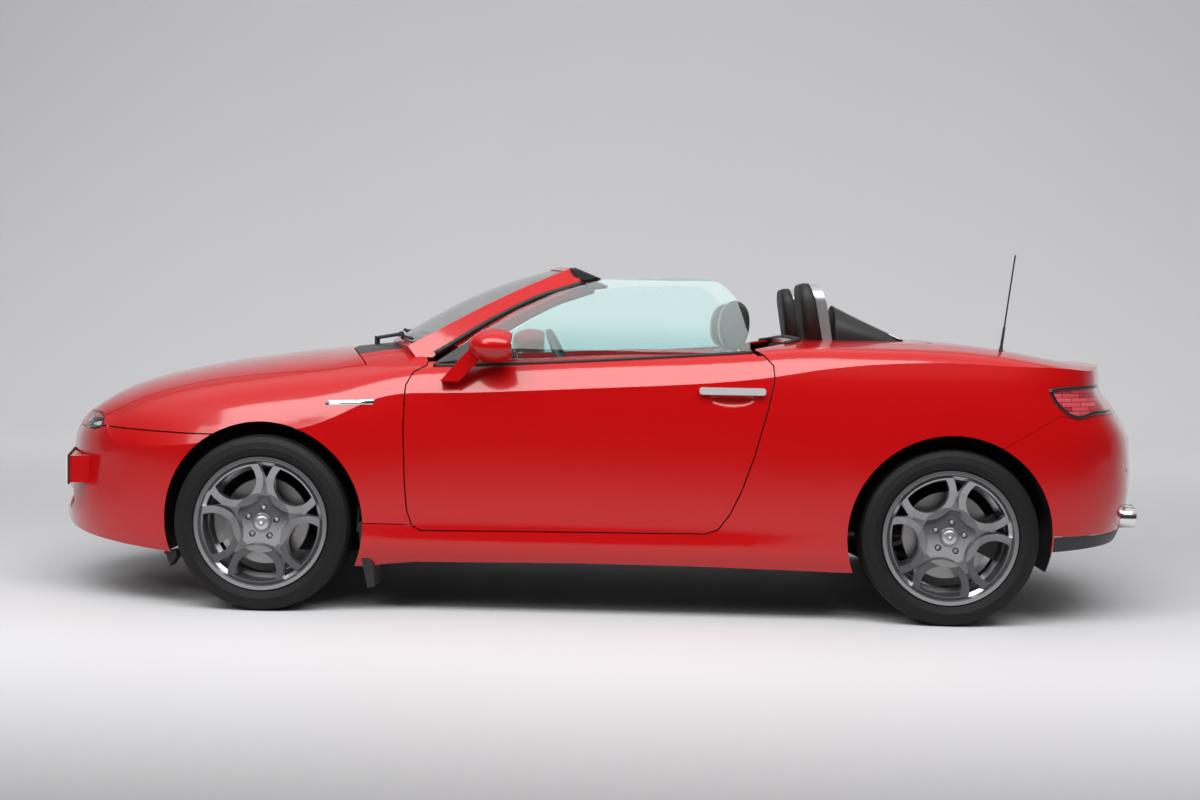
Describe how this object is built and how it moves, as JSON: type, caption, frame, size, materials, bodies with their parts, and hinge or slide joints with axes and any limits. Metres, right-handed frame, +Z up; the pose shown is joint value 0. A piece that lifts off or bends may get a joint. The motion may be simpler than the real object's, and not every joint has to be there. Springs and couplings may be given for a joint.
{
  "type": "convertible car",
  "caption": "Two-seat open sports car with folded-away roof, steerable front wheels, opening doors, bonnet and boot lid.",
  "frame": {"origin": "on the ground, in the middle of the car's length and width", "axes": "+X towards the tail, +Y towards the car's right side, +Z up"},
  "size_m": [4.3705, 2, 1.3688],
  "materials": {
    "red_paint": "gloss",
    "black_plastic": "satin",
    "black_metal": "satin",
    "wheel_grey": "satin",
    "tyre": "matt",
    "disc_steel": "machined",
    "carrier": "cast",
    "clear_glass": "clear",
    "lens_clear": "clear",
    "lens_red": "tinted",
    "chrome": "polished",
    "silver": "satin",
    "leather": "grained",
    "dash": "grained",
    "steel": "dull",
    "plate": "plain",
    "underseal": "matt"
  },
  "bodies": {
    "car_body": {"aerial": "black_plastic", "dashboard": "dash", "engine_block": "black_metal", "exhaust": "steel", "floor_pan": "underseal", "front_bumper": "red_paint", "front_structure": "underseal", "front_suspension": "black_metal", "front_wings": "red_paint", "grille": "chrome", "headlamp_lenses": "lens_clear", "headlamps": "chrome", "hoop_fairings": "black_plastic", "number_plates": "plate", "rear_bumper": "red_paint", "rear_diffuser": "black_plastic", "rear_structure": "underseal", "rear_suspension": "black_metal", "rear_wings": "red_paint", "roll_hoops": "silver", "scuttle_panel": "black_plastic", "seats": "leather", "tail_lamps": "lens_red", "tonneau_cover": "red_paint", "wheel_arch_liners": "black_plastic", "wind_deflector": "clear_glass", "windscreen_frame": "red_paint", "windscreen_glass": "clear_glass", "wipers": "black_metal"},
    "door_left": {"door_left": "red_paint", "door_glass_left": "clear_glass", "mirror_left": "red_paint", "handle_left": "chrome"},
    "door_right": {"door_right": "red_paint", "door_glass_right": "clear_glass", "mirror_right": "red_paint", "handle_right": "chrome"},
    "bonnet": {"bonnet": "red_paint"},
    "boot_lid": {"boot_lid": "red_paint"},
    "steering_wheel": {"steering_wheel": "leather"},
    "knuckle_left": {"knuckle_front_left": "carrier"},
    "knuckle_right": {"knuckle_front_right": "carrier"},
    "wheel_front_left": {"rim_front_left": "wheel_grey", "tyre_front_left": "tyre", "brake_disc_front_left": "disc_steel"},
    "wheel_front_right": {"rim_front_right": "wheel_grey", "tyre_front_right": "tyre", "brake_disc_front_right": "disc_steel"},
    "wheel_rear_left": {"rim_rear_left": "wheel_grey", "tyre_rear_left": "tyre", "brake_disc_rear_left": "disc_steel"},
    "wheel_rear_right": {"rim_rear_right": "wheel_grey", "tyre_rear_right": "tyre", "brake_disc_rear_right": "disc_steel"}
  },
  "joints": [
    {"name": "steer_left", "type": "hinge", "parent": "car_body", "child": "knuckle_left", "pos_m": [-1.2065, -0.71, 0.325], "axis": [0, 0, 1], "range_deg": [-32, 32]},
    {"name": "steer_right", "type": "hinge", "parent": "car_body", "child": "knuckle_right", "pos_m": [-1.2065, 0.71, 0.325], "axis": [0, 0, 1], "range_deg": [-32, 32]},
    {"name": "steering_wheel_turn", "type": "hinge", "parent": "car_body", "child": "steering_wheel", "pos_m": [-0.161, 0.38, 0.888], "axis": [0.9063, 0, 0.4226], "range_deg": [-450, 450]},
    {"name": "wheel_front_left_spin", "type": "hinge", "parent": "knuckle_left", "child": "wheel_front_left", "pos_m": [-1.2065, -0.7895, 0.325], "axis": [0, 1, 0], "continuous": true},
    {"name": "wheel_front_right_spin", "type": "hinge", "parent": "knuckle_right", "child": "wheel_front_right", "pos_m": [-1.2065, 0.7895, 0.325], "axis": [0, 1, 0], "continuous": true},
    {"name": "wheel_rear_left_spin", "type": "hinge", "parent": "car_body", "child": "wheel_rear_left", "pos_m": [1.3185, -0.7795, 0.325], "axis": [0, 1, 0], "continuous": true},
    {"name": "wheel_rear_right_spin", "type": "hinge", "parent": "car_body", "child": "wheel_rear_right", "pos_m": [1.3185, 0.7795, 0.325], "axis": [0, 1, 0], "continuous": true},
    {"name": "door_left_hinge", "type": "hinge", "parent": "car_body", "child": "door_left", "pos_m": [-0.592, -0.868, 0.6], "axis": [0, 0, -1], "range_deg": [0, 66]},
    {"name": "door_right_hinge", "type": "hinge", "parent": "car_body", "child": "door_right", "pos_m": [-0.592, 0.868, 0.6], "axis": [0, 0, 1], "range_deg": [0, 66]},
    {"name": "bonnet_hinge", "type": "hinge", "parent": "car_body", "child": "bonnet", "pos_m": [-0.85, 0, 0.975], "axis": [0, 1, 0], "range_deg": [0, 52]},
    {"name": "boot_lid_hinge", "type": "hinge", "parent": "car_body", "child": "boot_lid", "pos_m": [1.2825, 0, 1.0415], "axis": [0, -1, 0], "range_deg": [0, 70]}
  ],
  "couplings": [
    {"joint": "steer_right", "follows": "steer_left", "ratio": 1},
    {"joint": "steering_wheel_turn", "follows": "steer_left", "ratio": 14}
  ]
}
